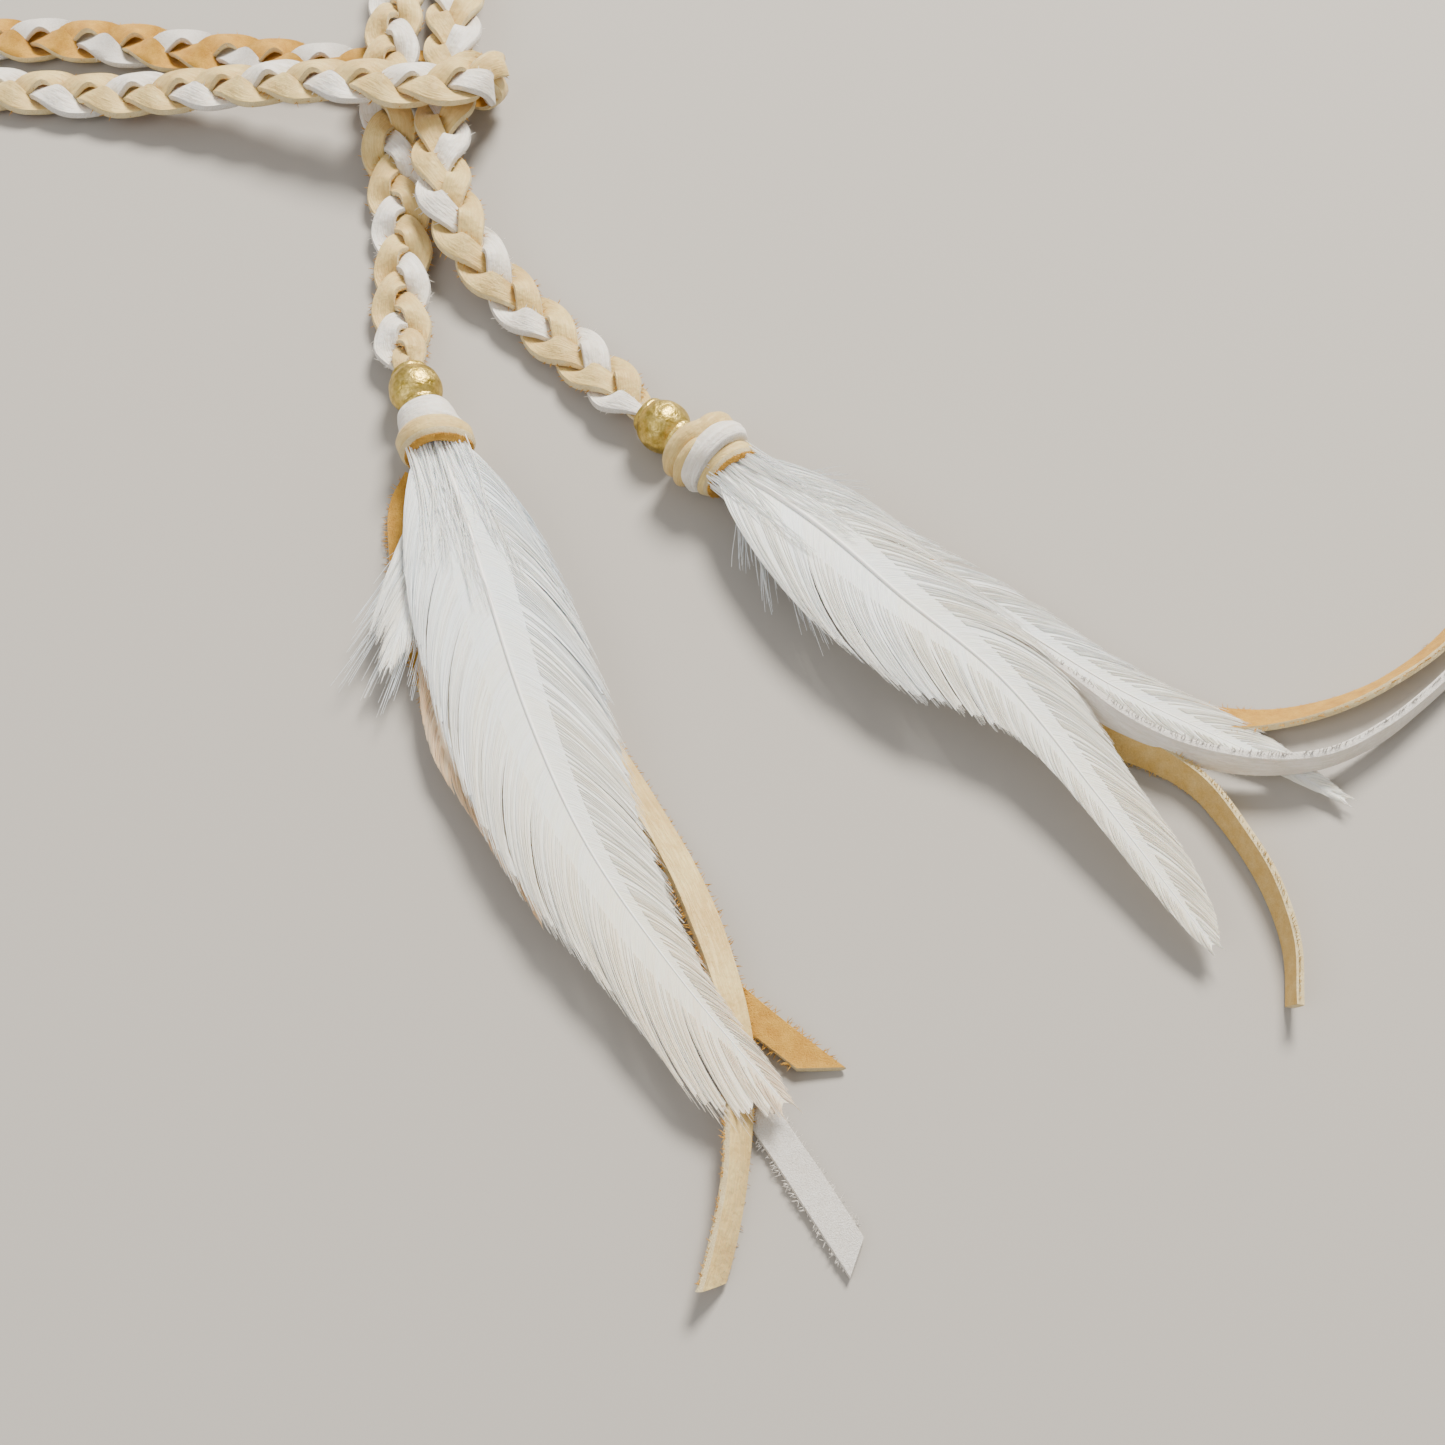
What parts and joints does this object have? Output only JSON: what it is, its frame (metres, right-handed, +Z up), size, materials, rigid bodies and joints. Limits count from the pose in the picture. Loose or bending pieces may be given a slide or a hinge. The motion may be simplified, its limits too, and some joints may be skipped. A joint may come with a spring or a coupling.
{
  "type": "headband",
  "caption": "Braided leather slip-loop headband whose tails end in brass beads, wrapped knots, feathers and fringe laces.",
  "frame": {"origin": "centre of the bottom of the box round the band, tails, beads, knots and feathers, on the surface that the headband lies on", "axes": "+Z up from the surface; +Y from the tassels towards the far side of the ring; +X to the right seen from above with the ring at the top"},
  "size_m": [0.3757, 0.4191, 0.0154],
  "materials": {
    "white_leather": "soft matte deerskin",
    "tan_leather": "natural tan deerskin, satin grain",
    "ochre_suede": "fuzzy flesh side",
    "brass": "satin, lightly hammered",
    "feather": "soft ivory barbs"
  },
  "bodies": {
    "band": {"outer_run_white": "white_leather", "outer_run_tan_a": "tan_leather", "outer_run_tan_b": "tan_leather", "inner_run_white": "white_leather", "inner_run_tan_a": "tan_leather", "inner_run_tan_b": "tan_leather", "loop_white": "white_leather", "loop_tan_a": "tan_leather", "loop_tan_b": "tan_leather"},
    "left_tail": {"left_tail_white": "white_leather", "left_tail_tan_a": "tan_leather", "left_tail_tan_b": "tan_leather"},
    "right_tail": {"right_tail_white": "white_leather", "right_tail_tan_a": "tan_leather", "right_tail_tan_b": "tan_leather"},
    "left_bead": {"left_bead": "brass"},
    "right_bead": {"right_bead": "brass"},
    "left_tassel": {"left_knot_core": "tan_leather", "left_knot_white_turn": "white_leather", "left_knot_tan_turn": "tan_leather", "left_main_feather": "feather", "left_side_feather": "feather", "left_downy_feather": "feather", "left_under_feather": "feather", "left_fringe_tan": "tan_leather", "left_fringe_white": "white_leather", "left_fringe_ochre": "ochre_suede"},
    "right_tassel": {"right_knot_core": "tan_leather", "right_knot_tan_turn": "tan_leather", "right_knot_white_turn": "white_leather", "right_knot_end_turn": "tan_leather", "right_front_feather": "feather", "right_downy_feather": "feather", "right_upper_feather": "feather", "right_fringe_tan": "tan_leather", "right_fringe_white": "white_leather", "right_fringe_ochre": "ochre_suede"}
  },
  "joints": [
    {"name": "left_tail_swing", "type": "hinge", "parent": "band", "child": "left_tail", "pos_m": [0.018, -0.0216, 0.00245], "axis": [0, 0, 1], "range_deg": [-18, 0]},
    {"name": "right_tail_swing", "type": "hinge", "parent": "band", "child": "right_tail", "pos_m": [0.027, -0.0206, 0.00765], "axis": [0, 0, 1], "range_deg": [0, 18]},
    {"name": "left_bead_spin", "type": "hinge", "parent": "left_tail", "child": "left_bead", "pos_m": [0.0255, -0.0718, 0.0045], "axis": [0.3401, -0.9404, 0], "continuous": true},
    {"name": "right_bead_spin", "type": "hinge", "parent": "right_tail", "child": "right_bead", "pos_m": [0.0663, -0.0792, 0.0045], "axis": [0.7413, -0.6712, 0], "continuous": true},
    {"name": "left_tassel_swing", "type": "hinge", "parent": "left_tail", "child": "left_tassel", "pos_m": [0.0255, -0.0718, 0.0045], "axis": [0, 0, 1], "range_deg": [-15, 10]},
    {"name": "right_tassel_swing", "type": "hinge", "parent": "right_tail", "child": "right_tassel", "pos_m": [0.0663, -0.0792, 0.0045], "axis": [0, 0, 1], "range_deg": [-10, 15]}
  ]
}
